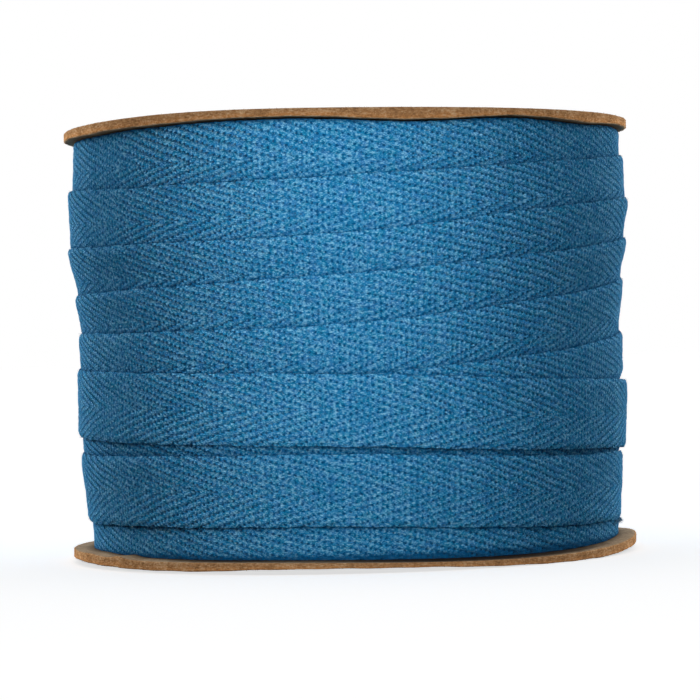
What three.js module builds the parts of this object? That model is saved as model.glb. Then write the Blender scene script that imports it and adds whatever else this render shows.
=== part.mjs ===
// A reel of cotton herringbone ribbon. The ribbon is wound in wide, flat, overlapping turns between two
// round kraft-board discs, and the reel stands on end on its lower disc.
// Units are millimetres. +Z is up, and the reel's front faces -Y.
// The origin is the middle of the face that the reel stands on.

import * as THREE from 'three';

// Driving dimensions

const discRadius = 64;
const discThickness = 2;
const discEdgeSoftness = 0.4;
const reelHeight = 95.6;
const clearance = 0.3;

const ribbonWidth = 15.2;
const ribbonEdgeSoftness = 0.45;
const cutEndSlope = 0.6;

const hiddenLayersRadius = 59;
const windingBottom = discThickness + clearance;
const windingTop = reelHeight - discThickness - clearance;
const windingColumns = 72;
const windingRows = 76;
const discSegments = 96;

// The ribbon is one continuous tape, and each row is a turn of it, in the order in which it was laid.
// The tape comes in at the right-hand side, crosses the front to the left and goes on around the back.
// right, frontRight, front, frontLeft, left and back: height of the turn's upper edge as it passes there.
// upperRight, upperLeft: distance of the upper edge from the reel's axis at the two sides.
// lowerRight, lowerLeft: the same distance where the next turn covers it, or at its lower edge.

const turns = [
  { right: 93.3, frontRight: 93.3, front: 93.3, frontLeft: 93.3, left: 93.3, back: 93.3,
    upperRight: 61.6, lowerRight: 61.4, upperLeft: 61.4, lowerLeft: 61.4 },
  { right: 93.3, frontRight: 93.3, front: 93.3, frontLeft: 93.3, left: 93.3, back: 91.4,
    upperRight: 62.1, lowerRight: 62.0, upperLeft: 61.7, lowerLeft: 62.1 },
  { right: 87.8, frontRight: 84.6, front: 81.8, frontLeft: 81.2, left: 82.4, back: 81.4,
    upperRight: 62.8, lowerRight: 63.0, upperLeft: 63.2, lowerLeft: 62.8 },
  { right: 78.3, frontRight: 74.9, front: 69.9, frontLeft: 69.0, left: 69.5, back: 69.9,
    upperRight: 63.8, lowerRight: 62.6, upperLeft: 63.5, lowerLeft: 61.4 },
  { right: 69.2, frontRight: 65.3, front: 61.3, frontLeft: 59.5, left: 58.8, back: 60.0,
    upperRight: 63.3, lowerRight: 61.6, upperLeft: 62.1, lowerLeft: 60.8 },
  { right: 60.0, frontRight: 55.6, front: 50.9, frontLeft: 50.1, left: 50.3, back: 49.6,
    upperRight: 62.3, lowerRight: 61.0, upperLeft: 61.5, lowerLeft: 61.1 },
  { right: 48.0, frontRight: 43.9, front: 40.1, frontLeft: 38.6, left: 38.2, back: 37.4,
    upperRight: 61.8, lowerRight: 61.6, upperLeft: 61.3, lowerLeft: 61.0 },
  { right: 36.0, frontRight: 33.5, front: 30.5, frontLeft: 28.5, left: 27.6, back: 27.0,
    upperRight: 61.3, lowerRight: 61.0, upperLeft: 61.2, lowerLeft: 60.8 },
  { right: 26.0, frontRight: 24.6, front: 22.5, frontLeft: 20.2, left: 19.4, back: 14.6,
    upperRight: 61.1, lowerRight: 59.8, upperLeft: 60.9, lowerLeft: 59.7 },
  { right: 9.6, frontRight: 9.0, front: 8.8, frontLeft: 8.6, left: 8.8, back: 13.8,
    upperRight: 60.0, lowerRight: 59.4, upperLeft: 59.3, lowerLeft: 58.9 },
  { right: 20.6, frontRight: 21.5, front: 23.5, frontLeft: 23.5, left: 23.5, back: 29.6,
    upperRight: 61.2, lowerRight: 60.5, upperLeft: 61.6, lowerLeft: 60.4 },
  { right: 36.6, frontRight: 38.0, front: 40.3, frontLeft: 41.4, left: 42.4, back: 45.6,
    upperRight: 62.6, lowerRight: 62.0, upperLeft: 62.0, lowerLeft: 62.1 },
];

// How far each station lies along a turn, as a share of it

const heightStations = [
  { column: 'right', at: 0 },
  { column: 'frontRight', at: 0.125 },
  { column: 'front', at: 0.25 },
  { column: 'frontLeft', at: 0.375 },
  { column: 'left', at: 0.5 },
  { column: 'back', at: 0.75 },
];
const upperStations = [
  { column: 'upperRight', at: 0 },
  { column: 'upperLeft', at: 0.5 },
];
const lowerStations = [
  { column: 'lowerRight', at: 0 },
  { column: 'lowerLeft', at: 0.5 },
];

// The tape's cut end lies at the middle of the back, three quarters of the way along the last turn
const cutEndShare = 0.75;
const tapeEnd = turns.length - 1 + cutEndShare;

function knotsOf(stations) {
  return turns.flatMap((turn, index) => stations.map(
    (station) => ({ along: index + station.at, value: turn[station.column] })));
}

function smoothstep(low, high, value) {
  const share = THREE.MathUtils.clamp((value - low) / (high - low), 0, 1);
  return share * share * (3 - 2 * share);
}

// A smooth curve through the knots, level beyond the first and the last
function curveThrough(knots) {
  const slopes = knots.map((knot, index) => {
    const before = knots[Math.max(index - 1, 0)];
    const after = knots[Math.min(index + 1, knots.length - 1)];
    return (after.value - before.value) / (after.along - before.along);
  });
  return (along) => {
    const next = knots.findIndex((knot) => knot.along > along);
    if (next === 0) return knots[0].value;
    if (next < 0) return knots[knots.length - 1].value;
    const from = knots[next - 1];
    const to = knots[next];
    const span = to.along - from.along;
    const share = (along - from.along) / span;
    const bend = share * (1 - share);
    return THREE.MathUtils.lerp(from.value, to.value, smoothstep(0, 1, share))
      + span * bend * ((1 - share) * slopes[next - 1] - share * slopes[next]);
  };
}

const upperEdge = curveThrough(knotsOf(heightStations));
const upperStand = curveThrough(knotsOf(upperStations));
const lowerStand = curveThrough(knotsOf(lowerStations));

// Distance of the ribbon's outer face from the axis, at a place along the tape and a height
function faceOf(along, height) {
  const edge = upperEdge(along);
  const step = edge - upperEdge(along + 1);
  const showing = step > 0 && along + 1 < turns.length ? Math.min(step, ribbonWidth) : ribbonWidth;
  const share = smoothstep(0, 1, (edge - height) / showing);
  return THREE.MathUtils.lerp(upperStand(along), lowerStand(along), share);
}

// The reel's surface: every passage of the tape is laid over the earlier ones, with soft edges.
// share is the angle around the reel as a share of a turn, from the right-hand side across the front.
function surfaceAt(share, height) {
  let radius = hiddenLayersRadius;
  for (let along = share; along < tapeEnd; along += 1) {
    const edge = upperEdge(along);
    const above = smoothstep(edge + ribbonEdgeSoftness / 2, edge - ribbonEdgeSoftness / 2, height);
    const low = edge - ribbonWidth;
    const below = smoothstep(low - ribbonEdgeSoftness / 2, low + ribbonEdgeSoftness / 2, height);
    radius = THREE.MathUtils.lerp(radius, faceOf(along, height), above * below);
  }
  return radius;
}

// Row heights for one column: they crowd where the surface steps from one turn to the next
function rowHeights(share) {
  const fineStep = 0.1;
  const stepWeight = 7;
  const fineCount = Math.round((windingTop - windingBottom) / fineStep);
  const lengths = [0];
  let radius = surfaceAt(share, windingBottom);
  for (let index = 1; index <= fineCount; index += 1) {
    const height = THREE.MathUtils.lerp(windingBottom, windingTop, index / fineCount);
    const nextRadius = surfaceAt(share, height);
    lengths.push(lengths[index - 1] + fineStep + stepWeight * Math.abs(nextRadius - radius));
    radius = nextRadius;
  }
  const total = lengths[fineCount];
  const heights = [];
  let index = 0;
  for (let row = 0; row < windingRows; row += 1) {
    const target = total * row / (windingRows - 1);
    while (index < fineCount - 1 && lengths[index + 1] < target) index += 1;
    const part = (target - lengths[index]) / (lengths[index + 1] - lengths[index]);
    heights.push(THREE.MathUtils.lerp(windingBottom, windingTop, (index + part) / fineCount));
  }
  return heights;
}

// The wound form, closed by a flat face at each end.
// One more column stands close before the tape's cut end, so that the end is a crisp step.
function buildWinding() {
  const shares = Array.from({ length: windingColumns }, (_, column) => column / windingColumns);
  shares.push(cutEndShare - cutEndSlope / (2 * Math.PI * discRadius));
  shares.sort((one, other) => one - other);
  const points = [];
  for (const share of shares) {
    const angle = -share * 2 * Math.PI;
    for (const height of rowHeights(share)) {
      const radius = surfaceAt(share, height);
      points.push(radius * Math.cos(angle), radius * Math.sin(angle), height);
    }
  }
  const bottomMiddle = points.length / 3;
  points.push(0, 0, windingBottom);
  points.push(0, 0, windingTop);
  const faces = [];
  for (let column = 0; column < shares.length; column += 1) {
    const here = column * windingRows;
    const there = ((column + 1) % shares.length) * windingRows;
    for (let row = 0; row < windingRows - 1; row += 1) {
      faces.push(here + row, here + row + 1, there + row);
      faces.push(here + row + 1, there + row + 1, there + row);
    }
    faces.push(bottomMiddle, here, there);
    faces.push(bottomMiddle + 1, there + windingRows - 1, here + windingRows - 1);
  }
  const geometry = new THREE.BufferGeometry();
  geometry.setAttribute('position', new THREE.Float32BufferAttribute(points, 3));
  geometry.setIndex(faces);
  geometry.computeVertexNormals();
  return geometry;
}

// A round board disc with its rim a little worn
function buildDisc() {
  const inner = discRadius - discEdgeSoftness;
  const profile = [
    new THREE.Vector2(0, 0),
    new THREE.Vector2(inner, 0),
    new THREE.Vector2(discRadius, discEdgeSoftness),
    new THREE.Vector2(discRadius, discThickness - discEdgeSoftness),
    new THREE.Vector2(inner, discThickness),
    new THREE.Vector2(0, discThickness),
  ];
  const geometry = new THREE.LatheGeometry(profile, discSegments);
  geometry.rotateX(Math.PI / 2);
  return geometry;
}

const kraftBoard = new THREE.MeshStandardMaterial({ color: '#93704d', roughness: 0.9, metalness: 0 });
const cotton = new THREE.MeshStandardMaterial({ color: '#3476a0', roughness: 0.85, metalness: 0 });

function named(name, geometry, material, height = 0) {
  const mesh = new THREE.Mesh(geometry, material);
  mesh.name = name;
  mesh.position.z = height;
  return mesh;
}

const reel = new THREE.Group();
reel.add(named('flange_bottom', buildDisc(), kraftBoard));
reel.add(named('winding', buildWinding(), cotton));
reel.add(named('flange_top', buildDisc(), kraftBoard, reelHeight - discThickness));

export default reel;
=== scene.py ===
# %% [markdown]
# # A reel of cotton herringbone ribbon
#
# The object is a flat cotton tape, woven in herringbone, wound in wide overlapping turns between two round
# discs of brown kraft board. The reel stands on end on its lower disc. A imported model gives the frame: the
# two discs and the wound form at their real sizes. This lesson dresses them. It lays the tape turn by turn
# over the wound form, gives the discs their rough cut edges, and weaves the cloth in a shader.
# Lengths in the tables are millimetres, and Blender's own unit is the metre.

# %% Load the frame
import math

import bpy
import numpy as np
from mathutils import Matrix, Vector


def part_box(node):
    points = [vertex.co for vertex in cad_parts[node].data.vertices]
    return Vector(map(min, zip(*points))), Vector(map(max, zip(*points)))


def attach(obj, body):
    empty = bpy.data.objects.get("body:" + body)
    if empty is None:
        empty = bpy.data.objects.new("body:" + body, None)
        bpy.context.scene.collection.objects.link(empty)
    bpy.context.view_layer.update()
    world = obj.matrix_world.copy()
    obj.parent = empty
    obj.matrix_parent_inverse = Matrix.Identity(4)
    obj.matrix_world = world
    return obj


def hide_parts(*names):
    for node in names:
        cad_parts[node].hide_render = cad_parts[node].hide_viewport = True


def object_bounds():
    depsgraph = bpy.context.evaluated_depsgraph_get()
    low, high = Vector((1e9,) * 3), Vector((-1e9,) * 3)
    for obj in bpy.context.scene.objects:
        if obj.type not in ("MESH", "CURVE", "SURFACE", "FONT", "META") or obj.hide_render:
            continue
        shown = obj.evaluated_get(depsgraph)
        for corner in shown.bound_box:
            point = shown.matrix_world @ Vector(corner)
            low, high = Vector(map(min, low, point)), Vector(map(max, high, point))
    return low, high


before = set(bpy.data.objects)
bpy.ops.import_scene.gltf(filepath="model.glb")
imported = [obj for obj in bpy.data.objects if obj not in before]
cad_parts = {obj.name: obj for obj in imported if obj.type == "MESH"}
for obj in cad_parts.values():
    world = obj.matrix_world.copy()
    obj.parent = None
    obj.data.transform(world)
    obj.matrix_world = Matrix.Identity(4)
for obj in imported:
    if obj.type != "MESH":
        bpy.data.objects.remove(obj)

MM = 0.001
cad_low, cad_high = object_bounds()
print("the frame reaches from", tuple(cad_low), "to", tuple(cad_high))

# %% [markdown]
# ## The camera
#
# A product picture is taken from far away with a long lens, so that the reel looks almost flat. The camera
# stands level at half the reel's height. The reel leans a little in the picture, which is a roll of the
# camera about its own line of sight, and it sits a little above the middle, which is a small vertical shift.

# %% Place the camera
PICTURE_SIZE = 700
FOCAL_PIXELS = 3231
SENSOR_WIDTH = 36
CAMERA_DISTANCE = 736
PICTURE_ROLL = 1.45
REEL_CENTRE_ROW = 338

reel_height = cad_high.z / MM
camera_data = bpy.data.cameras.new("camera")
camera_data.sensor_width = SENSOR_WIDTH
camera_data.lens = FOCAL_PIXELS / PICTURE_SIZE * SENSOR_WIDTH
camera_data.shift_y = (REEL_CENTRE_ROW - PICTURE_SIZE / 2) / PICTURE_SIZE
camera = bpy.data.objects.new("camera", camera_data)
bpy.context.scene.collection.objects.link(camera)
facing = Matrix.Rotation(math.radians(90), 4, "X") @ Matrix.Rotation(-math.radians(PICTURE_ROLL), 4, "Z")
camera.matrix_world = Matrix.Translation((0, -CAMERA_DISTANCE * MM, reel_height / 2 * MM)) @ facing
bpy.context.scene.camera = camera
print("lens", round(camera_data.lens, 1), "mm, at", CAMERA_DISTANCE, "mm from the reel's axis")

# %% [markdown]
# ## How the tape was wound
#
# The tape is one long piece. It comes in at the right-hand side, crosses the front to the left and goes on
# around the back. Each row of this table is a turn, in the order in which it was laid. The first columns give
# the height of its upper edge as it passes six places. The last four say how far its face stands out from
# the axis at the two sides, at its upper edge and where the next turn covers it. Ten turns step down the reel
# like roof tiles. Most lie over the lower edge of the one before, and the tenth fills the foot. Then the
# winding turns back, and the last two turns lie side by side on top of the rest.

# %% The table of turns
RIBBON_WIDTH = 15.2
TAPE_THICKNESS = 0.8
WINDING_RADIUS = 62

COLUMNS = ("right", "front_right", "front", "front_left", "left", "back",
           "upper_right", "lower_right", "upper_left", "lower_left")
ROWS = (
    (93.3, 93.3, 93.3, 93.3, 93.3, 93.3, 61.6, 61.4, 61.4, 61.4),
    (93.3, 93.3, 93.3, 93.3, 93.3, 91.4, 62.1, 62.0, 61.7, 62.1),
    (87.8, 84.6, 81.8, 81.2, 82.4, 81.4, 62.8, 63.0, 63.2, 62.8),
    (78.3, 74.9, 69.9, 69.0, 69.5, 69.9, 63.8, 62.6, 63.5, 61.4),
    (69.2, 65.3, 61.3, 59.5, 58.8, 60.0, 63.3, 61.6, 62.1, 60.8),
    (60.0, 55.6, 50.9, 50.1, 50.3, 49.6, 62.3, 61.0, 61.5, 61.1),
    (48.0, 43.9, 40.1, 38.6, 38.2, 37.4, 61.8, 61.6, 61.3, 61.0),
    (36.0, 33.5, 30.5, 28.5, 27.6, 27.0, 61.3, 61.0, 61.2, 60.8),
    (26.0, 24.6, 22.5, 20.2, 19.4, 14.6, 61.1, 59.8, 60.9, 59.7),
    (9.6, 9.0, 8.8, 8.6, 8.8, 13.8, 60.0, 59.4, 59.3, 58.9),
    (20.6, 21.5, 23.5, 23.5, 23.5, 29.6, 61.2, 60.5, 61.6, 60.4),
    (36.6, 38.0, 40.3, 41.4, 42.4, 45.6, 62.6, 62.0, 62.0, 62.1),
)
TURNS = [dict(zip(COLUMNS, row)) for row in ROWS]
HEIGHT_STATIONS = {"right": 0, "front_right": 0.125, "front": 0.25, "front_left": 0.375, "left": 0.5,
                   "back": 0.75}
UPPER_STATIONS = {"upper_right": 0, "upper_left": 0.5}
LOWER_STATIONS = {"lower_right": 0, "lower_left": 0.5}
CUT_END_SHARE = 0.75
tape_end = len(TURNS) - 1 + CUT_END_SHARE
tape_metres = tape_end * 2 * math.pi * WINDING_RADIUS * MM
print(len(TURNS), "turns, about", round(tape_metres, 1), "m of tape in sight or just under it")

# %% [markdown]
# Between the stations the tape runs smoothly. A cubic curve through the stations, with the slope at each one
# taken from its neighbours, gives its course for any place along the tape. A place is counted in turns.

# %% A smooth curve through the stations
def smooth(share):
    """A share from 0 to 1 that starts and ends gently."""
    share = np.clip(share, 0, 1)
    return share * share * (3 - 2 * share)


def curve_through(stations):
    """A function of the place along the tape that passes through the table's values at the stations."""
    places = np.array([turn + at for turn in range(len(TURNS)) for at in stations.values()])
    heights = np.array([row[column] for row in TURNS for column in stations])
    last = len(places) - 1
    before = np.maximum(np.arange(len(places)) - 1, 0)
    after = np.minimum(np.arange(len(places)) + 1, last)
    slopes = (heights[after] - heights[before]) / (places[after] - places[before])

    def curve(along):
        along = np.clip(along, places[0], places[-1])
        start = np.clip(np.searchsorted(places, along, side="right") - 1, 0, last - 1)
        span = places[start + 1] - places[start]
        share = (along - places[start]) / span
        straight = heights[start] + (heights[start + 1] - heights[start]) * smooth(share)
        bulge = (1 - share) * slopes[start] - share * slopes[start + 1]
        return straight + span * share * (1 - share) * bulge

    return curve


upper_edge = curve_through(HEIGHT_STATIONS)
upper_stand = curve_through(UPPER_STATIONS)
lower_stand = curve_through(LOWER_STATIONS)


def face_of(along, height):
    """How far the tape's outer face stands from the axis, at a place along the tape and a height."""
    edge = upper_edge(along)
    step = edge - upper_edge(along + 1)
    covered = (step > 0) & (along + 1 < len(TURNS))
    showing = np.where(covered, np.clip(step, 1, RIBBON_WIDTH), RIBBON_WIDTH)
    share = smooth((edge - height) / showing)
    return upper_stand(along) * (1 - share) + lower_stand(along) * share


print("the last turn's upper edge crosses the front at", upper_edge(np.array([11.25])).round(1), "mm")

# %% [markdown]
# ## Uneven by hand
#
# No edge of a soft tape runs dead straight, and no turn lies perfectly flat. A wander is a sum of a few
# gentle waves of different lengths, started at places drawn from a seeded generator, so that every run of
# this script gives the same reel.

# %% Gentle wander
chance = np.random.default_rng(15)


def wander(wave_lengths, amount):
    """A function of a place in millimetres that moves gently by about amount."""
    starts = chance.uniform(0, 2 * math.pi, len(wave_lengths))

    def at(place):
        waves = [np.sin(2 * math.pi * place / length + start) for length, start in zip(wave_lengths, starts)]
        return amount * sum(waves) / math.sqrt(len(waves))

    at.lengths = wave_lengths
    at.starts = starts
    at.height = amount / math.sqrt(len(wave_lengths))
    return at


edge_wander = wander((7.3, 12.9, 23.0, 41.0), 0.1)
other_edge_wander = wander((6.1, 11.0, 19.7, 47.0), 0.1)
face_wander = wander((17.0, 31.0, 58.0), 0.06)
cross_wander = wander((9.0, 15.0, 26.0), 0.05)
print("an edge wanders by up to", round(float(np.abs(edge_wander(np.arange(0, 400, 0.5))).max()), 2), "mm")

# %% [markdown]
# ## How the boards warp
#
# Board is never quite flat. The lower disc carries the reel: its rim droops on both sides of the front, it is
# pressed a little thinner at the front, and at the left a bump was pushed up into it. The upper disc's rim
# rises to the left of the front, and its under edge waves. A displacement texture could bend the rims, but a
# few listed hills follow the real ones better. Each row of these tables is one soft hill: its height
# in millimetres, its place round the rim and its width in degrees, where 0 is the front and 90 the right-hand
# side. The tape's edges follow the boards, so the warp is known before the tape is laid.

# %% Hills round the rims
LOWER_BOARD_UNDER = ((-0.75, -42, 26), (-1.3, 45, 30), (0.6, 90, 14))
LOWER_BOARD_UPPER = LOWER_BOARD_UNDER + ((-0.95, 10, 32), (0.55, -54, 2.4), (0.2, -66, 5))
UPPER_BOARD_UPPER = ((0.72, -32, 32), (-0.25, -90, 12))
UPPER_BOARD_UNDER = ((0.3, -49, 9), (0.4, -29, 12), (0.4, -9, 10), (-0.5, 14, 10), (0.4, 35, 11),
                     (-0.35, 56, 9), (0.45, -25, 20))
LOWER_BEND_START = 0.78
UPPER_BEND_START = 0.4

disc_radius = cad_high.x / MM
disc_top_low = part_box("flange_top")[0].z / MM
disc_bottom_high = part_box("flange_bottom")[1].z / MM


def hills(angle, rows):
    """The sum of the hills at an angle round a rim."""
    turned = np.degrees(angle) + 90
    total = 0
    for amount, place, width in rows:
        apart = (turned - place + 180) % 360 - 180
        total = total + amount * np.exp(-(apart / width) ** 2)
    return total


def bend(radius, start):
    """How much of the rim's warp reaches a distance from the axis: none in the middle, all at the rim."""
    return smooth((radius / disc_radius - start) / (1 - start))


lowest_rim = float(hills(np.radians(np.arange(-180, 180)), LOWER_BOARD_UNDER).min())
print("the lower board's rim droops to", round(lowest_rim, 2), "mm")

# %% [markdown]
# ## Laying the turns
#
# Each turn could be a flat strip pushed onto a cylinder, but then the turns would cut through each other.
# Here the turns are worked out from the last one laid back to the first. A grid of angles and heights
# remembers the inner face of all the tape laid later. A turn keeps its own course where nothing covers it,
# and dives under that ceiling where a later turn lies on it, which is how the real tape was squeezed. How
# far down each turn stays bare is noted, because only that part needs fine detail. Little light reaches the
# cloth close to a later turn, to the upper disc or to the foot, so each turn keeps a painted shade for those
# places, and the cotton's material darkens by it.

# %% The ceiling left by later turns
COLUMNS_PER_TURN = 680
CEILING_STEP = 0.1
CEILING_SLOPE = 0.35
SQUEEZE = 0.04
FREE = 1000.0
PAINTED_SHADE_NEAR = 0.45
PAINTED_SHADE_NEAR_REACH = 0.35
PAINTED_SHADE_WIDE = 0.25
PAINTED_SHADE_WIDE_REACH = 1.6
PAINTED_SHADE_TOP = 2.0
PAINTED_SHADE_TOP_REACH = 0.45
PAINTED_SHADE_FOOT = 0.9
PAINTED_SHADE_FOOT_REACH = 0.6

shares = np.arange(COLUMNS_PER_TURN + 1) / COLUMNS_PER_TURN
levels = np.arange(0, reel_height, CEILING_STEP)


def slope_down(ceiling):
    """A ceiling whose rims are ramps, so that what dives under it bends gently."""
    eased = ceiling.copy()
    for level in range(1, len(levels)):
        eased[:, level] = np.minimum(eased[:, level], eased[:, level - 1] + CEILING_SLOPE * CEILING_STEP)
    for level in range(len(levels) - 2, -1, -1):
        eased[:, level] = np.minimum(eased[:, level], eased[:, level + 1] + CEILING_SLOPE * CEILING_STEP)
    return eased


def distance_to(covered):
    """How far each level is from the nearest covered one, up or down, in millimetres."""
    far = np.where(covered, 0.0, FREE)
    for level in range(1, len(levels)):
        far[:, level] = np.minimum(far[:, level], far[:, level - 1] + CEILING_STEP)
    for level in range(len(levels) - 2, -1, -1):
        far[:, level] = np.minimum(far[:, level], far[:, level + 1] + CEILING_STEP)
    return far


def lay_turns():
    """Each turn's face, painted shade and bare width, then the lowest inner face and the outermost face of
    all.
    """
    ceiling = np.full((len(shares), len(levels)), FREE)
    # painted shade: the cloth darkens under the upper disc and at the foot
    near_top = PAINTED_SHADE_TOP * np.exp(-np.maximum(disc_top_low - levels, 0) / PAINTED_SHADE_TOP_REACH)
    near_foot = PAINTED_SHADE_FOOT * np.exp(-np.maximum(levels - disc_bottom_high, 0) / PAINTED_SHADE_FOOT_REACH)
    outside = np.zeros((len(shares), len(levels)))
    laid_faces = {}
    laid_painted_shades = {}
    laid_bare = {}
    for turn in reversed(range(len(TURNS))):
        along = turn + shares
        own = face_of(along[:, None], levels[None, :])
        face = np.minimum(own, slope_down(ceiling) - SQUEEZE)
        across = upper_edge(along)[:, None] - levels[None, :]
        on_tape = (along <= tape_end)[:, None] & (across >= 0) & (across <= RIBBON_WIDTH)
        laid_faces[turn] = face
        far = distance_to(ceiling < FREE)
        # painted shade: the cloth darkens close to the tape laid later
        near_tape = PAINTED_SHADE_NEAR * np.exp(-far / PAINTED_SHADE_NEAR_REACH) + PAINTED_SHADE_WIDE * np.exp(-far / PAINTED_SHADE_WIDE_REACH)
        laid_painted_shades[turn] = near_tape + near_top + near_foot
        outside = np.maximum(outside, np.where(on_tape, face, 0))
        laid_bare[turn] = float(np.max(across, where=on_tape & (ceiling == FREE), initial=0))
        ceiling = np.where(on_tape, np.minimum(ceiling, face - TAPE_THICKNESS), ceiling)
    return laid_faces, laid_painted_shades, laid_bare, float(np.min(ceiling)), outside


faces, painted_shades, bare_width, deepest, outside = lay_turns()
print("bare parts of the turns:", [round(bare_width[turn], 1) for turn in range(len(TURNS))])
print("the lowest layer's inner face is at", round(deepest, 1), "mm from the axis")

# %% [markdown]
# ## The weave as relief
#
# Forty-one warp threads run along the tape, and the weft crosses them every 1.21 mm. Each warp thread floats
# over three wefts and dips under the fourth, and the next thread does so one weft further on, which draws the
# diagonal lines of a twill. At the tape's middle the step turns round, so the lines meet in arrowheads: a
# herringbone. A float is a low arch between two dips. A bump alone would leave the tape's outline smooth, so
# the mesh carries the arches, a sixth of a millimetre deep, with one row of points along each thread.

# %% Twill sizes and relief
PICK_PITCH = 1.21
THREADS = 41
END_PITCH = RIBBON_WIDTH / THREADS
REPEAT = 4
FLOAT_LENGTH = REPEAT * PICK_PITCH
ARCH_HEIGHT = 0.17
ARCH_LIFT = 0.055
ARCH_FLATNESS = 2.0
thread_drift = wander((13.0, 29.0, 71.0), 0.35)


def float_relief(along, across):
    """How far a warp thread stands out or dips in, in millimetres, at a place on the tape."""
    number = np.round(np.abs(across - RIBBON_WIDTH / 2) / END_PITCH)
    turns = (along + thread_drift(along)) / FLOAT_LENGTH - number / REPEAT
    from_crest = np.abs(2 * (turns - np.floor(turns)) - 1)
    return ARCH_LIFT - ARCH_HEIGHT * from_crest ** ARCH_FLATNESS


print("a diagonal every", round(REPEAT * END_PITCH, 2), "mm across the tape")

# %% [markdown]
# ## One turn as a mesh
#
# A turn is a closed strip. A curve with a bevel could make one, but it can't dive under its neighbours. So
# the section, a flat bar whose edges are rounded in two steps, is swept along the tape's course column by
# column. Every point knows its place on the flat tape, in millimetres, and keeps it in a UV map, so the weave
# follows the tape however it bends. Threads that later turns hide get fewer rows of points.

# %% Section of the tape
SELVEDGE = TAPE_THICKNESS / 2
SELVEDGE_ANGLES = (0, 45)
INNER_STEPS = 4
COARSE_STEP = 3
DETAIL_MARGIN = 1.5


def tape_section(bare):
    """Places across the tape and depths below its outer face, once round the section."""
    turn_in = np.radians(SELVEDGE_ANGLES)
    edge = SELVEDGE * (1 - np.cos(turn_in))
    edge_depth = SELVEDGE * (1 - np.sin(turn_in))
    threads = (np.arange(THREADS) + 0.5) * END_PITCH
    threads = threads[(threads > SELVEDGE) & (threads < RIBBON_WIDTH - SELVEDGE)]
    fine = threads < bare + DETAIL_MARGIN
    kept = fine | (np.arange(len(threads)) % COARSE_STEP == 0)
    middle = threads[kept]
    inner = np.linspace(RIBBON_WIDTH - SELVEDGE, SELVEDGE, INNER_STEPS)
    across = [edge, middle, RIBBON_WIDTH - edge[::-1], RIBBON_WIDTH - edge[1:], inner, edge[:0:-1]]
    depth = [edge_depth, 0 * middle, edge_depth[::-1], TAPE_THICKNESS - edge_depth[1:],
             0 * inner + TAPE_THICKNESS, TAPE_THICKNESS - edge_depth[:0:-1]]
    return np.concatenate(across), np.concatenate(depth)


print([len(tape_section(bare_width[turn])[0]) for turn in range(len(TURNS))], "points round each section")

# %% [markdown]
# The tape may not reach into the discs, so its heights stop a little short of them, and follow their warp.
# The shades and faces found before are grids, which are read between their levels.

# %% Heights between the boards
DISC_CLEARANCE = 0.1
TOP_CLEARANCE = 0.3
FOOT_RADIUS = 59.5
HEAD_REACH = 8.0
LEVEL_MARGIN = 1.001

all_along = np.arange(len(TURNS) * COLUMNS_PER_TURN + 1) / COLUMNS_PER_TURN
steps_along = np.hypot(np.diff(upper_edge(all_along)),
                       2 * math.pi / COLUMNS_PER_TURN * upper_stand(all_along[1:]))
tape_length = np.concatenate([[0], np.cumsum(steps_along)])
print("the modelled turns take", round(tape_length[-1] * MM, 2), "m of tape")


def look_up(face, heights):
    """Values of a face grid at a height for each column of angles."""
    spot = np.clip(heights / CEILING_STEP, 0, len(levels) - LEVEL_MARGIN)
    low = spot.astype(int)
    part = spot - low
    column = np.arange(len(face))[:, None]
    return face[column, low] * (1 - part) + face[column, low + 1] * part


def between_boards(height, angle):
    """Heights held between flat boards, and the same raised with the upper board's under edge."""
    board = hills(angle, LOWER_BOARD_UPPER) * bend(FOOT_RADIUS, LOWER_BEND_START)
    foot = disc_bottom_high + DISC_CLEARANCE + board
    under_edge = hills(angle, UPPER_BOARD_UNDER)
    head = disc_top_low - TOP_CLEARANCE + np.minimum(under_edge, 0)
    held = np.clip(height, foot, head)
    near_head = smooth((held - disc_top_low) / HEAD_REACH + 1)
    return held, held + np.maximum(under_edge, 0) * near_head


# %% [markdown]
# The strip's points are found for a whole turn at once, as arrays: the place along, the height, the distance
# from the axis, and from these x, y and z. The weft turns back at the selvedge, which gives it a faint
# scallop, and the selvedge is a little thinner than the cloth, so the face sinks towards it.

# %% Points of a turn
EDGE_TAPER = 0.28
EDGE_TAPER_WIDTH = 1.3
RELIEF_RISE = 2
CROSS_ALONG = 0.6
CROSS_ACROSS = 2.3
SCALLOP = 0.05


def turn_points(turn):
    """Points of a turn's strip, their places on the flat tape, and their painted shade."""
    section_across, section_depth = tape_section(bare_width[turn])
    count = COLUMNS_PER_TURN if turn < len(TURNS) - 1 else round(COLUMNS_PER_TURN * CUT_END_SHARE)
    column = np.arange(count + 1)
    place = tape_length[turn * COLUMNS_PER_TURN + column][:, None]
    across = section_across[None, :]
    share = across / RIBBON_WIDTH
    scallop = SCALLOP * np.cos(math.pi * place / PICK_PITCH)
    height = upper_edge(turn + column / COLUMNS_PER_TURN)[:, None] - across
    height = height + (edge_wander(place) + scallop) * (1 - share)
    height = height + (other_edge_wander(place) + scallop) * share
    angle = -2 * math.pi * column[:, None] / COLUMNS_PER_TURN
    flat_height, height = between_boards(height, angle)
    outer = look_up(faces[turn][:count + 1], height)
    outer = outer + face_wander(place) + cross_wander(place * CROSS_ALONG + across * CROSS_ACROSS)
    on_face = section_depth[None, :] < SELVEDGE
    from_edge = np.minimum(across, RIBBON_WIDTH - across) / EDGE_TAPER_WIDTH
    outer = outer - np.where(on_face, EDGE_TAPER * (1 - smooth(from_edge)), 0)
    relief = float_relief(place, across) * smooth(RELIEF_RISE * from_edge)
    radius = outer - section_depth[None, :] + np.where(on_face, relief, 0)
    points = np.stack([radius * np.cos(angle), radius * np.sin(angle), height], axis=-1)
    painted_shade = look_up(painted_shades[turn][:count + 1], flat_height)
    return points, np.broadcast_to(place, height.shape), np.broadcast_to(across, height.shape), painted_shade
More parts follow.
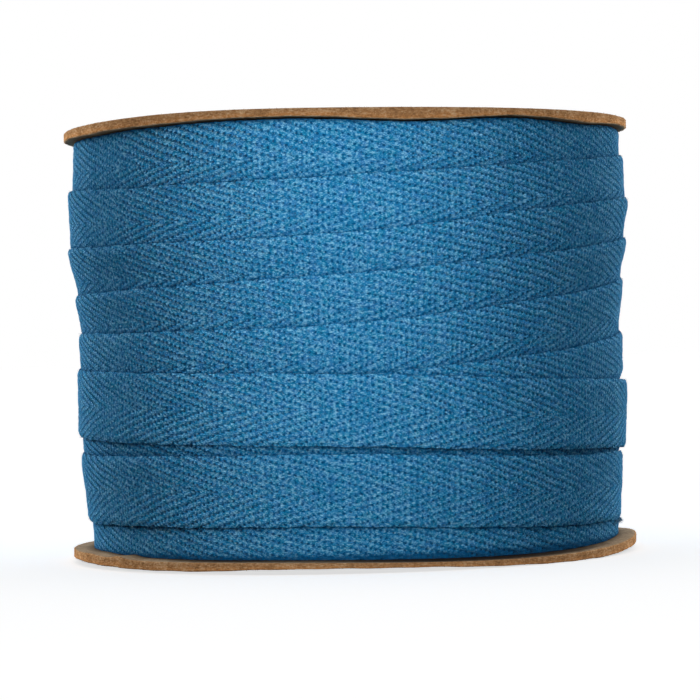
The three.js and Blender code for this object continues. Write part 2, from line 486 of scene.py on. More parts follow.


# %% [markdown]
# A helper turns a grid of points into a closed mesh: quads between the columns, and one flat face at each
# end. The places on the flat tape go into a UV map, and the painted shade goes into an attribute of the
# points.

# %% A strip from its points
def add_piece(name, points, quads, smooth_faces=True):
    """A mesh piece from points in millimetres and its faces."""
    mesh = bpy.data.meshes.new(name)
    mesh.from_pydata((points * MM).tolist(), [], quads)
    mesh.update()
    if smooth_faces:
        mesh.shade_smooth()
    else:
        mesh.shade_flat()
    piece = bpy.data.objects.new(name, mesh)
    bpy.context.scene.collection.objects.link(piece)
    return piece


def add_tape_map(piece, along, across):
    """Keeps each point's place on the flat tape, in millimetres, in a UV map."""
    layer = piece.data.uv_layers.new(name="tape")
    loops = np.zeros(len(piece.data.loops), int)
    piece.data.loops.foreach_get("vertex_index", loops)
    places = np.stack([along.reshape(-1), across.reshape(-1)], axis=-1)[loops]
    layer.uv.foreach_set("vector", places.astype(np.float32).ravel())


def add_values(piece, name, values):
    """Keeps a value for each point in an attribute that a material can read."""
    layer = piece.data.attributes.new(name, "FLOAT", "POINT")
    layer.data.foreach_set("value", values.astype(np.float32).ravel())


def strip_piece(name, points, along, across, painted_shade):
    """A closed strip: columns of section points joined by quads, with a flat end at each side."""
    columns, around = points.shape[:2]
    number = np.arange(columns * around).reshape(columns, around)
    here = number[:-1]
    there = number[1:]
    quads = np.stack([here, np.roll(here, -1, 1), np.roll(there, -1, 1), there], axis=-1).reshape(-1, 4)
    ends = [number[0][::-1].tolist(), number[-1].tolist()]
    piece = add_piece(name, points.reshape(-1, 3), quads.tolist() + ends)
    add_tape_map(piece, along, across)
    add_values(piece, "painted_shade", painted_shade)
    return piece


# %% Make the turns
turn_pieces = []
for turn in range(len(TURNS)):
    turn_pieces.append(strip_piece(f"ribbon_turn_{turn + 1:02d}", *turn_points(turn)))
faces_made = sum(len(piece.data.polygons) for piece in turn_pieces)
print(len(turn_pieces), "turns of", faces_made, "faces")

# %% [markdown]
# ## The older layers underneath
#
# Between two turns a narrow groove lets the eye in. Whatever lies below is more of the same tape, so a
# plain drum with shallow steps closes the view, just inside the lowest turn that is modelled.

# %% The older layers
LAYER_STEP = 0.25
LAYER_PITCH = 11.5
LAYER_GAP = 0.3
UNDER_COLUMNS = 120
UNDER_ROWS = 60


def under_points():
    """Points of the drum and their places on the flat tape."""
    heights = np.linspace(disc_bottom_high + LAYER_GAP, disc_top_low - LAYER_GAP, UNDER_ROWS)[None, :]
    angle = -2 * math.pi * np.arange(UNDER_COLUMNS)[:, None] / UNDER_COLUMNS
    climb = (heights / LAYER_PITCH + angle / (2 * math.pi)) % 1
    radius = deepest - LAYER_GAP - LAYER_STEP * climb
    along = -angle * radius + heights * 0
    points = np.stack([radius * np.cos(angle), radius * np.sin(angle), heights + 0 * angle], axis=-1)
    return points, along, climb * RIBBON_WIDTH


def drum_piece(name, points, along, across):
    """A closed drum: rows of points round the axis, with a flat face at each end."""
    columns, rows = points.shape[:2]
    number = np.arange(columns * rows).reshape(columns, rows)
    next_column = np.roll(number, -1, 0)
    quads = np.stack([number[:, :-1], number[:, 1:], next_column[:, 1:], next_column[:, :-1]], axis=-1)
    ends = [number[:, 0].tolist(), number[::-1, -1].tolist()]
    piece = add_piece(name, points.reshape(-1, 3), quads.reshape(-1, 4).tolist() + ends)
    add_tape_map(piece, along, across)
    return piece


older_layers = drum_piece("older_layers", *under_points())
print("the older layers reach", round(older_layers.dimensions.x / 2 / MM, 1), "mm from the axis")

# %% [markdown]
# ## The board discs
#
# The discs were punched from grey-brown kraft board. A punched rim isn't clean: the layers of the board show
# as faint lines, the rim is nicked and a little wavy, and its two corners are soft. A bevelled cylinder would
# be too clean, so a disc is drawn as rings of points, from the middle of one face over the rim to the middle
# of the other. The rim's rows are moved in and out by waves that change quickly round the disc, and the hills
# of the warp lift and lower them. Three values go along for the material: the place round the rim, how far
# down the disc's thickness a point lies, and the shade that the winding throws on the lower disc's upper
# face.

# %% Disc sizes
DISC_SEGMENTS = 900
disc_thickness = disc_bottom_high
RIM_CORNER = 0.3
RIM_ROWS = 13
RIM_INSET = 0.2
PLIES = 4
PLY_GROOVE = 0.05
FACE_RINGS = (0.35, 0.6, 0.78, 0.86, 0.91, 0.96, 0.97, 0.98)
SHADE_REACH = 0.9
SHADE_HILLS = ((3.4, 28, 32), (1.8, -28, 14))
SHADE_EDGE = 4
UNDER_SWAY = 1.2
WEAR_SWING = 4
PLY_SHARPNESS = 6

rim_nicks = wander((0.9, 1.3, 2.1, 3.7, 6.9), 0.06)
rim_nicks_low = wander((0.8, 1.1, 1.9, 4.3, 8.7), 0.06)
rim_sway = wander((10.1, 19.9, 33.5, 57.4), 0.06)
corner_wear = wander((1.9, 2.7, 5.1, 11.0, 19.0), 0.09)
ply_wander = wander((9.1, 23.0, 57.4), 0.12)
print("the discs are", round(2 * disc_radius, 1), "mm across and", round(disc_thickness, 1), "mm thick")


# %% Rings of a disc
def disc_points(upper_rows, under_rows, bend_start):
    """Rings of a disc, from its upper face's middle to its lower one's, and their three values."""
    angle = 2 * math.pi * np.arange(DISC_SEGMENTS)[:, None] / DISC_SEGMENTS
    round_rim = angle * disc_radius
    drop = np.linspace(0, 1, RIM_ROWS)[None, :]
    corner = np.minimum(drop, 1 - drop) * disc_thickness / RIM_CORNER
    inset = RIM_CORNER * (1 - np.sqrt(1 - (1 - np.clip(corner, 0, 1)) ** 2))
    wear = inset * (1 + corner_wear(round_rim) * WEAR_SWING)
    nicks = rim_nicks(round_rim) * (1 - drop) + rim_nicks_low(round_rim) * drop
    ply = np.abs(np.cos(math.pi * PLIES * (drop + ply_wander(round_rim) / PLIES)))
    rim = disc_radius - RIM_INSET - wear + nicks - PLY_GROOVE * ply ** PLY_SHARPNESS
    face = disc_radius * np.array(FACE_RINGS)[None, :] + 0 * angle
    radius = np.concatenate([face, rim, face[:, ::-1]], axis=1)
    down = np.concatenate([0 * face, drop + 0 * angle, 0 * face + 1], axis=1)
    under = hills(angle, under_rows) + rim_sway(round_rim) * UNDER_SWAY
    lift = (hills(angle, upper_rows) * (1 - down) + under * down) * bend(radius, bend_start)
    height = disc_thickness * (1 - down) + lift
    reach = SHADE_REACH + hills(angle, SHADE_HILLS)
    shade = np.exp(-(np.maximum(radius - FOOT_RADIUS, 0) / reach) ** SHADE_EDGE) * (down == 0)
    points = np.stack([radius * np.cos(angle), radius * np.sin(angle), height], axis=-1)
    return points, round_rim + 0 * down, down, shade


def disc_piece(name, upper_rows, under_rows, bend_start, height, shaded):
    """A closed disc at a height. shaded is 1 where the winding stands on it, and else 0."""
    points, round_rim, down, shade = disc_points(upper_rows, under_rows, bend_start)
    points = points + np.array([0, 0, height])
    columns, rows = points.shape[:2]
    number = np.arange(columns * rows).reshape(columns, rows)
    next_column = np.roll(number, -1, 0)
    quads = np.stack([number[:, 1:], next_column[:, 1:], next_column[:, :-1], number[:, :-1]], axis=-1)
    ends = [number[:, 0].tolist(), number[::-1, -1].tolist()]
    piece = add_piece(name, points.reshape(-1, 3), quads.reshape(-1, 4).tolist() + ends)
    add_values(piece, "round_rim", round_rim)
    add_values(piece, "down", down)
    add_values(piece, "shade", shade * shaded)
    return piece


# %% Make the discs
disc_bottom = disc_piece("board_disc_bottom", LOWER_BOARD_UPPER, LOWER_BOARD_UNDER, LOWER_BEND_START, 0, 1)
disc_top = disc_piece("board_disc_top", UPPER_BOARD_UPPER, UPPER_BOARD_UNDER, UPPER_BEND_START,
                      disc_top_low, 0)
print("each disc has", len(disc_bottom.data.polygons), "faces")

# %% [markdown]
# ## Loose fibres
#
# Cotton is hairy and a punched board sheds fibres. Hair particles would do it, but plain geometry is easier
# to hand on, so every fibre is a closed spike of four triangles. All the fibres of one part are one mesh. The
# places and directions are drawn from a seeded generator of their own.

# %% Spikes as one mesh
fibre_chance = np.random.default_rng(4)
SPIKE_BASE = ((1.0, 0.0), (-0.5, 0.87), (-0.5, -0.87))
SPIKE_FACES = ((0, 1, 3), (1, 2, 3), (2, 0, 3), (0, 2, 1))
SPIKE_CORNERS = len(SPIKE_BASE) + 1
FIBRE_SHARES = (0.4, 1.6)


def unit(vectors):
    """The same directions, each one long."""
    return vectors / np.linalg.norm(vectors, axis=-1, keepdims=True)


def spike_piece(name, roots, spans, width):
    """One closed spike for each root, reaching as far as its span."""
    side = unit(np.cross(spans, fibre_chance.normal(size=spans.shape)))
    other = unit(np.cross(spans, side))
    corners = [roots + (one * side + two * other) * width for one, two in SPIKE_BASE]
    points = np.stack(corners + [roots + spans], axis=1).reshape(-1, 3)
    first = np.arange(len(roots))[:, None] * SPIKE_CORNERS
    triangles = np.concatenate([first + np.array(face)[None, :] for face in SPIKE_FACES])
    return add_piece(name, points, triangles.tolist(), False)


def fibre_spans(outward, count, length, spread):
    """Random short vectors that lean outward: length is the mean, spread says how wildly they point."""
    wild = fibre_chance.normal(size=(count, 3)) * spread
    return unit(outward + wild) * length * fibre_chance.uniform(*FIBRE_SHARES, (count, 1))


# %% [markdown]
# The fuzz of the cloth is short and lies all over it. Each fibre roots a little under the outermost face
# found while the turns were laid, so none hangs in the air. At the lower right the last turn but one has
# frayed, and a small tuft of longer fibres hangs there.

# %% Fuzz on the cotton
FUZZ_COUNT = 26000
FUZZ_LENGTH = 0.45
FUZZ_WIDTH = 0.03
FUZZ_SINK = 0.2
FUZZ_SPREAD = 0.8
FUZZ_MARGIN = 1
FRAYED_TURN = 10
FRAYED_COUNT = 220
FRAYED_LENGTH = 0.8
FRAYED_WIDTH = 0.05
FRAYED_HEIGHT = 5.4
FRAYED_HEIGHT_SPREAD = 0.15
FRAYED_SINK = (0.1, 0.6)
FRAYED_DROOP = -0.9
FRAYED_ANGLES = (-16, 4)


def rooted(angle, radius, height):
    """Outward directions round the axis, and places at a distance from it and a height."""
    outward = np.stack([np.cos(angle), np.sin(angle), 0 * angle], axis=-1)
    return outward, outward * radius[:, None] + np.array([0, 0, 1]) * height[:, None]


def fuzz_on_tape():
    """Roots and spans of the fuzz all over the cloth."""
    column = fibre_chance.integers(0, len(shares), FUZZ_COUNT)
    height = fibre_chance.uniform(disc_bottom_high + FUZZ_MARGIN, disc_top_low - FUZZ_MARGIN, FUZZ_COUNT)
    level = (height / CEILING_STEP).astype(int)
    radius = outside[column, level] - FUZZ_SINK
    outward, roots = rooted(-2 * math.pi * column / COLUMNS_PER_TURN, radius, height)
    return roots, fibre_spans(outward, FUZZ_COUNT, FUZZ_LENGTH, FUZZ_SPREAD)


def frayed_corner():
    """The tuft where the lower right corner of the last turn but one has frayed."""
    angle = np.radians(fibre_chance.uniform(*FRAYED_ANGLES, FRAYED_COUNT))
    height = FRAYED_HEIGHT + fibre_chance.normal(size=FRAYED_COUNT) * FRAYED_HEIGHT_SPREAD
    radius = TURNS[FRAYED_TURN]["lower_right"] - fibre_chance.uniform(*FRAYED_SINK, FRAYED_COUNT)
    outward, roots = rooted(angle, radius, height)
    leaning = outward + np.array([0, 0, FRAYED_DROOP])
    return roots, fibre_spans(leaning, FRAYED_COUNT, FRAYED_LENGTH, FUZZ_SPREAD)


fuzz = spike_piece("ribbon_fuzz", *fuzz_on_tape(), FUZZ_WIDTH)
frayed = spike_piece("ribbon_frayed_corner", *frayed_corner(), FRAYED_WIDTH)
print("fuzz of", FUZZ_COUNT + FRAYED_COUNT, "fibres")

# %% [markdown]
# The punch tore the board's fibres, most of them at the two corners of the rim. They are thicker and shorter
# than the fuzz, and lean out and away from the middle of the board's thickness.

# %% Torn fibres on the boards' rims
TORN_COUNT = 2600
TORN_LENGTH = 0.28
TORN_WIDTH = 0.07
TORN_SPREAD = 1.2
TORN_AT_CORNER = 0.6
TORN_SINK = 0.12
TORN_CORNER_SINK = 0.25
TORN_LOWEST = 0.06
TORN_HEIGHTS = 0.88


def torn_fibres(name, upper_rows, under_rows, height):
    """The torn fibres of one board's rim as one piece."""
    angle = fibre_chance.uniform(-math.pi, math.pi, TORN_COUNT)
    down = fibre_chance.uniform(0, 1, TORN_COUNT)
    corner = fibre_chance.uniform(0, 1, TORN_COUNT) < TORN_AT_CORNER
    down = np.where(corner, np.round(down), down)
    lift = hills(angle, upper_rows) * (1 - down) + hills(angle, under_rows) * down
    radius = disc_radius - RIM_INSET - TORN_SINK - TORN_CORNER_SINK * corner
    outward = np.stack([np.cos(angle), np.sin(angle), 0.5 - down], axis=-1)
    level = height + disc_thickness * (TORN_LOWEST + TORN_HEIGHTS * (1 - down)) + lift
    roots = np.stack([radius * np.cos(angle), radius * np.sin(angle), level], axis=-1)
    spans = fibre_spans(outward, TORN_COUNT, TORN_LENGTH, TORN_SPREAD)
    return spike_piece(name, roots, spans, TORN_WIDTH)


torn_bottom = torn_fibres("board_fibres_bottom", LOWER_BOARD_UPPER, LOWER_BOARD_UNDER, 0)
torn_top = torn_fibres("board_fibres_top", UPPER_BOARD_UPPER, UPPER_BOARD_UNDER, disc_top_low)
print("torn fibres on both rims:", 2 * TORN_COUNT)

# %% [markdown]
# ## Writing shaders as sums
#
# A material is a graph of small nodes. Wiring them by hand is slow to read, so one class wraps an output
# socket and lets Python's own signs add the Math nodes: `1 - mask` or `height * 0.4 + grain`. Colours go
# through the Mix node instead, because a Math node would turn a colour grey.

# %% The wire class
NOISE_MIDDLE = 0.5


class Wire:
    """An output socket of a node, on which sums can be written."""

    def __init__(self, tree, socket=None):
        self.tree = tree
        self.socket = socket

    def node(self, kind, settings=None, inputs=None, output=0):
        """Adds a node. Its settings are set first, then its sockets get a value or a wire."""
        made = self.tree.nodes.new(kind)
        for name, setting in (settings or {}).items():
            setattr(made, name, setting)
        for name, given in (inputs or {}).items():
            if isinstance(given, Wire):
                self.tree.links.new(given.socket, made.inputs[name])
            else:
                made.inputs[name].default_value = given
        return Wire(self.tree, made.outputs[output] if made.outputs else None)

    def maths(self, operation, *values):
        """A Math node on numbers and wires."""
        return self.node("ShaderNodeMath", {"operation": operation}, dict(enumerate(values)))

    def __add__(self, other):
        return self.maths("ADD", self, other)

    __radd__ = __add__

    def __sub__(self, other):
        return self.maths("SUBTRACT", self, other)

    def __rsub__(self, other):
        return self.maths("SUBTRACT", other, self)

    def __mul__(self, other):
        return self.maths("MULTIPLY", self, other)

    __rmul__ = __mul__

    def __truediv__(self, other):
        return self.maths("DIVIDE", self, other)

    def __abs__(self):
        return self.maths("ABSOLUTE", self)

    def __pow__(self, other):
        return self.maths("POWER", self, other)

    def floor(self):
        """The whole number below."""
        return self.maths("FLOOR", self)

    def held(self, low=0.0, high=1.0):
        """The same, kept from low to high."""
        return self.maths("MINIMUM", self.maths("MAXIMUM", self, low), high)

    def centred(self):
        """Noise from 0 to 1, moved so that its middle is 0."""
        return self - NOISE_MIDDLE

    def spot(self, other):
        """A flat place, from this wire and another one or a number."""
        return self.node("ShaderNodeCombineXYZ", None, {0: self, 1: other})

    def mesh_value(self, name):
        """A value that the mesh keeps for each point. Output 2 is the plain number."""
        return self.node("ShaderNodeAttribute", {"attribute_name": name}, None, 2)

    def mixed(self, first, second):
        """A colour between two, with this wire as the share of the second. 6, 7 and 2 are colour sockets."""
        return self.node("ShaderNodeMix", {"data_type": "RGBA", "clamp_factor": True},
                         {0: self, 6: first, 7: second}, 2)


# %% Materials and colours
def new_material(name):
    """An empty material with its output, and a wire to start from."""
    material = bpy.data.materials.new(name)
    material.use_nodes = True
    material.node_tree.nodes.clear()
    return material, Wire(material.node_tree)


def linear(red, green, blue):
    """A colour as seen on screen, 0 to 255, as the linear values that a shader wants, by the sRGB formula."""
    screen = np.array([red, green, blue]) / 255
    values = np.where(screen <= 0.04045, screen / 12.92, ((screen + 0.055) / 1.055) ** 2.4)
    return (*values.tolist(), 1.0)


print("screen blue 52 118 160 is", [round(x, 3) for x in linear(52, 118, 160)])

# %% [markdown]
# ## The cotton
#
# A photograph of cloth could be wrapped round the reel, but it would blur from close by. So the shader weaves
# the cloth itself. It reads the place on the flat tape from the UV map, and so continues what the mesh began.
# Noise in tape millimetres gives the grain of the yarn, and the threads drift along the tape as they do in
# the mesh.

# %% Noise on the flat tape
GRAIN = {"scale": 2.6, "detail": 3.0, "roughness": 0.7, "stretch": (0.7, 1.3)}
FIBRE = {"scale": 6.0, "detail": 2.0, "roughness": 0.6, "stretch": (0.35, 1.4)}
CLOUD = {"scale": 0.11}
HUE = {"scale": 0.5, "detail": 1.0}
SLIP = {"scale": 0.35, "stretch": (0.5, 2.0)}
SLIP_AMOUNT = 0.7
DASH_ALONG = 1.3
DASH_ACROSS = 5.7


def tape_noise(tape, scale, detail=2.0, roughness=0.5, stretch=(1.0, 1.0)):
    """Noise over the flat tape: scale is in specks for each millimetre."""
    placed = tape.node("ShaderNodeMapping", {"vector_type": "POINT"},
                       {"Vector": tape, "Scale": (scale * stretch[0], scale * stretch[1], 1)})
    return tape.node("ShaderNodeTexNoise", {"noise_dimensions": "2D"},
                     {"Vector": placed, "Scale": 1.0, "Detail": detail, "Roughness": roughness})


def drifted(tape, straight):
    """The place along the tape, moved by the mesh's own drift of the threads and a little noise."""
    waves = [straight.maths("SINE", straight * (2 * math.pi / length) + first)
             for length, first in zip(thread_drift.lengths, thread_drift.starts)]
    drift = sum(thread_drift.height * wave for wave in waves)
    return straight + drift + tape_noise(tape, **SLIP).centred() * SLIP_AMOUNT


def dashes(along, number):
    """Noise in short dashes along each thread, another one for each thread."""
    spot = (along * DASH_ALONG).spot(number * DASH_ACROSS)
    return along.node("ShaderNodeTexNoise", {"noise_dimensions": "2D"},
                      {"Vector": spot, "Scale": 1.0, "Detail": 2.0})


def lottery(wire, other):
    """A random value from 0 to 1 for each pair of whole numbers."""
    return wire.node("ShaderNodeTexWhiteNoise", {"noise_dimensions": "2D"}, {"Vector": wire.spot(other)})


print("grain of", GRAIN["scale"], "specks and fibre of", FIBRE["scale"], "specks a millimetre")

# %% [markdown]
# The number of the warp thread and the place along it say where its floats arch and where they dip. Each dip
# gets a soft ragged dot of painted shade, some stronger than others, between two lips of painted highlight
# where the weft comes up. The cloth between two diagonal lines is painted paler as a rib, and darker along
# the lines, which is painted light and shade. All of it is worked out from the same sizes as the mesh.

# %% Dips, lips and ribs: relief, painted shade and painted highlights
LINE_PITCH = REPEAT * END_PITCH
DIP_LENGTH = 0.29
DIP_HEIGHT = 0.31
DIP_REACH = 1.2
DIP_SHARPNESS = 1.7
DIP_RAGGED = 4.0
DIP_LEAST = 0.4
DIP_RANGE = 0.65
LIP_PLACE = 0.55
LIP_LENGTH = 0.22
LIP_HEIGHT = 0.24
LIP_REACH = 1.5


def twill_relief_and_light(along, across, grain):
    """How much of a dip, a lip and a rib there is at a place: relief for the bump, painted shade and light
    for the colour.
    """
    column = (along / PICK_PITCH + 0.5).floor()
    beside_column = along - column * PICK_PITCH
    lines = abs(across - RIBBON_WIDTH / 2) / LINE_PITCH - column / REPEAT
    line = (lines + 0.5).floor()
    beside_line = (lines - line) * LINE_PITCH
    off_dip = along.maths("SQRT", (beside_column / DIP_LENGTH) ** 2 + (beside_line / DIP_HEIGHT) ** 2)
    dot = ((DIP_REACH - off_dip) * DIP_SHARPNESS + grain.centred() * DIP_RAGGED).held()
    dip_relief_and_shade = dot * (DIP_LEAST + lottery(column, line) * DIP_RANGE)
    off_lip = abs(abs(beside_column) - LIP_PLACE) / LIP_LENGTH + abs(beside_line) / LIP_HEIGHT
    rib_light_and_shade = abs(beside_line) * (4 / LINE_PITCH) - 1
    return dip_relief_and_shade, (LIP_REACH - off_lip).held(), rib_light_and_shade


print("a dip every", PICK_PITCH, "mm along and", round(LINE_PITCH, 2), "mm across")

# %% [markdown]
# The dye isn't even: the blue drifts a little to green and to violet, and the floats differ a little in
# lightness. Pale yarn breaks it up. The dips carry painted shade, and the lips and ribs carry painted light
# and shade. The painted shade that the mesh keeps darkens the cloth beside its neighbours, and deep in a
# groove or close under a board it turns into a near-black painted shadow.

# %% Colours of the cotton
COTTON_BODY = linear(28, 127, 181)
COTTON_GREEN = linear(16, 129, 174)
COTTON_VIOLET = linear(44, 122, 181)
COTTON_PALE_AND_HIGHLIGHT = linear(128, 190, 222)
COTTON_SHADE_AND_DARK_TONE = linear(0, 76, 122)
COTTON_PAINTED_SHADOW = linear(26, 22, 28)
HUE_CONTRAST = 4
PALE_GRAIN = 3.2
PALE_DASH = 4.8
PALE_FIBRE = 4.8
PALE_FLOAT = 0.3
PALE_CLOUD = 0.4
PAINTED_LIP_HIGHLIGHT = 0.4
PAINTED_RIB_LIGHT = 0.28
PALE_SHARE = 0.6
DARK_SHARE = 0.5
PAINTED_SHADOW_START = 0.9


def dyed(tape):
    """The drifting blue of the dye."""
    hue = tape_noise(tape, **HUE)
    green = ((NOISE_MIDDLE - hue) * HUE_CONTRAST).held()
    violet = ((hue - NOISE_MIDDLE) * HUE_CONTRAST).held()
    return violet.mixed(green.mixed(COTTON_BODY, COTTON_GREEN), COTTON_VIOLET)


def cotton_colour(tape, tone_and_painted_light, dip_relief_and_shade):
    """The dye with its pale yarn, the painted highlights of lips and ribs, and painted shade in dips and
    corners.
    """
    lighter = (tone_and_painted_light * PALE_SHARE).held().mixed(dyed(tape), COTTON_PALE_AND_HIGHLIGHT)
    painted_shade = tape.mesh_value("painted_shade")
    # painted shade in the dips, along the twill lines and beside the neighbours, mixed with yarn that is
    # darker at random
    darker = (dip_relief_and_shade + (0 - tone_and_painted_light).held() * DARK_SHARE + painted_shade).held().mixed(lighter, COTTON_SHADE_AND_DARK_TONE)
    # painted shadow: where the painted shade is deepest, close under the upper disc and deep in grooves, the
    # cloth turns near black
    return (painted_shade - PAINTED_SHADOW_START).held().mixed(darker, COTTON_PAINTED_SHADOW)


print("the cotton's body colour is", [round(x, 3) for x in COTTON_BODY[:3]])

# %% [markdown]
# The same arches as in the mesh go into the bump too, because a row of points is too coarse for the round of
# a thread, its grain and its fibres. Cotton is matt, so the shine is weak, and a little sheen stands in for
# the finest fibres.

# %% Cotton material
COTTON_ROUGHNESS = 0.7
COTTON_SHINE = 0.04
COTTON_SHEEN = 0.04
COTTON_SHEEN_ROUGHNESS = 0.3
BUMP_ARCH = 1.15
BUMP_ROUND = 0.05
BUMP_GRAIN = 0.4
BUMP_FIBRE = 0.3
BUMP_MARK = 0.06


def make_cotton():
    """The herringbone cotton."""
    material, start = new_material("cotton_herringbone")
    tape = start.node("ShaderNodeUVMap", {"uv_map": "tape"})
    straight = start.node("ShaderNodeSeparateXYZ", None, {0: tape})
    across = Wire(start.tree, straight.socket.node.outputs[1])
    along = drifted(tape, straight)
    thread = abs(across - RIBBON_WIDTH / 2) / END_PITCH + 0.5
    number = thread.floor()
    beside = thread - number - 0.5
    floats = along / FLOAT_LENGTH - number / REPEAT
    from_crest = abs((floats - floats.floor()) * 2 - 1)
    arch = 1 - from_crest ** ARCH_FLATNESS
    roundness = 1 - beside * beside * 4
    grain = tape_noise(tape, **GRAIN)
    fibre = tape_noise(tape, **FIBRE)
    dip_relief_and_shade, lip_relief_and_highlight, rib_light_and_shade = twill_relief_and_light(along, across, grain)
    # painted light: lips and ribs are painted paler and the twill lines darker, on top of the yarn's random
    # tone
    tone_and_painted_light = (grain.centred() * PALE_GRAIN + dashes(along, number).centred() * PALE_DASH
            + fibre.centred() * PALE_FIBRE + lottery(floats.floor(), number).centred() * PALE_FLOAT
            + tape_noise(tape, **CLOUD).centred() * PALE_CLOUD + lip_relief_and_highlight * PAINTED_LIP_HIGHLIGHT + rib_light_and_shade * PAINTED_RIB_LIGHT)
    height = (arch * BUMP_ARCH + roundness * BUMP_ROUND + grain.centred() * BUMP_GRAIN
              + fibre.centred() * BUMP_FIBRE + lip_relief_and_highlight * BUMP_MARK - dip_relief_and_shade * BUMP_MARK)
    bump = start.node("ShaderNodeBump", None, {"Strength": 1.0, "Distance": MM, "Height": height})
    shader = start.node("ShaderNodeBsdfPrincipled", None,
                        {"Base Color": cotton_colour(tape, tone_and_painted_light, dip_relief_and_shade), "Roughness": COTTON_ROUGHNESS,
                         "Normal": bump, "Specular IOR Level": COTTON_SHINE, "Sheen Weight": COTTON_SHEEN,
                         "Sheen Roughness": COTTON_SHEEN_ROUGHNESS})
    start.node("ShaderNodeOutputMaterial", None, {"Surface": shader})
    return material


cotton = make_cotton()
for piece in turn_pieces + [older_layers]:
    piece.data.materials.append(cotton)
print("cotton nodes", len(cotton.node_tree.nodes))

# %% [markdown]
# A loose fibre is thinner than the yarn and catches more light, so the fuzz is paler and greyer than the
# cloth. The spikes have no place on the tape. Object coordinates give each one its tint.

# %% Fuzz material
FUZZ_BLUE = linear(70, 140, 180)
FUZZ_PALE = linear(170, 200, 215)
FUZZ_SPECKS = 900.0
FUZZ_PALE_START = 0.45
FUZZ_CONTRAST = 4
FUZZ_ROUGHNESS = 0.9
FUZZ_SHINE = 0.05
OBJECT_PLACE = 3


def make_fuzz():
    """The cotton's loose fibres."""
    material, start = new_material("cotton_fuzz")
    place = start.node("ShaderNodeTexCoord", None, None, OBJECT_PLACE)
    tint = start.node("ShaderNodeTexNoise", None, {"Vector": place, "Scale": FUZZ_SPECKS, "Detail": 1.0})
    colour = ((tint - FUZZ_PALE_START) * FUZZ_CONTRAST).held().mixed(FUZZ_BLUE, FUZZ_PALE)
    shader = start.node("ShaderNodeBsdfPrincipled", None,
                        {"Base Color": colour, "Roughness": FUZZ_ROUGHNESS, "Specular IOR Level": FUZZ_SHINE})
    start.node("ShaderNodeOutputMaterial", None, {"Surface": shader})
    return material


cotton_fuzz = make_fuzz()
for piece in (fuzz, frayed):
    piece.data.materials.append(cotton_fuzz)
print("fuzz nodes", len(cotton_fuzz.node_tree.nodes))

# %% [markdown]
# ## The kraft board
#
# Kraft board is pressed from brown wood fibre. Its faces are matt and evenly flecked, and the punched rim is
# more orange, with a broken cream line at its foot. The rim's lower half is more orange still, which is
# painted bounce light from the floor. A ramp over the height would colour both boards alike and miss the
# warp, so the mesh's own values are used: how far down the rim a point lies, how far round it, and how deep
# in the winding's painted shade. Object coordinates carry the flecks, because they belong to the whole disc.
# The torn fibres have none of the three values, so they take the colour of the faces.

# %% Colours of the board
KRAFT_FACE = linear(156, 134, 108)
KRAFT_RIM = linear(170, 125, 82)
KRAFT_BOUNCE_ORANGE = linear(190, 133, 80)
KRAFT_DEEP = linear(34, 26, 22)
KRAFT_DARK = linear(84, 60, 42)
KRAFT_SPECK = linear(222, 196, 160)
KRAFT_CREAM = linear(226, 206, 170)
CRUMB = {"Scale": 2600.0, "Detail": 2.0, "Roughness": 0.6}
FLECK = {"Scale": 1100.0, "Detail": 3.0, "Roughness": 0.6}
MOTTLE = {"Scale": 260.0, "Detail": 3.0, "Roughness": 0.6}
STREAK = {"Scale": 1.0, "Detail": 3.0, "Roughness": 0.65}
STREAKS_ROUND = 0.9
STREAKS_DOWN = 6.0
for part_name, colour in (("face", KRAFT_FACE), ("rim", KRAFT_RIM)):
    print("the board's", part_name, "colour is", [round(x, 3) for x in colour[:3]])

# %% Kraft board material
RIM_EDGE = 40
ORANGE_START = 0.45
ORANGE_CONTRAST = 3
TONE_CRUMB = 1.5
TONE_FLECK = 1.6
TONE_MOTTLE = 1.4
TONE_STREAK = 2.4
SPECK_SHARE = 0.7
DARK_KRAFT_SHARE = 0.8
CREAM_START = 0.9
CREAM_CONTRAST = 12
CREAM_RAGGED = 3
CREAM_SHARE = 0.5
BUMP_CRUMB = 0.10
BUMP_FLECK = 0.16
BUMP_STREAK = 0.12
KRAFT_ROUGHNESS = 0.95
KRAFT_SHINE = 0.1


def board_colour(crumb, fleck, mottle, streak):
    """The board's faces and rim with their specks, the rim's painted bounce light, its cream line and the
    winding's painted shade.
    """
    down = crumb.mesh_value("down")
    on_rim = (down * (1 - down) * RIM_EDGE).held()
    # painted bounce light: the rim's lower half is more orange
    lower_rim_bounce = ((down - ORANGE_START) * ORANGE_CONTRAST + mottle.centred() * ORANGE_CONTRAST).held()
    board = on_rim.mixed(KRAFT_FACE, lower_rim_bounce.mixed(KRAFT_RIM, KRAFT_BOUNCE_ORANGE))
    tone = (crumb.centred() * TONE_CRUMB + fleck.centred() * TONE_FLECK + mottle.centred() * TONE_MOTTLE
            + streak.centred() * TONE_STREAK * on_rim)
    lighter = (tone * SPECK_SHARE).held().mixed(board, KRAFT_SPECK)
    darker = ((0 - tone) * DARK_KRAFT_SHARE).held().mixed(lighter, KRAFT_DARK)
    cream_line = ((down - CREAM_START) * CREAM_CONTRAST + streak.centred() * CREAM_RAGGED).held() * on_rim
    creamy = (cream_line * CREAM_SHARE).mixed(darker, KRAFT_CREAM)
    return crumb.mesh_value("shade").mixed(creamy, KRAFT_DEEP)


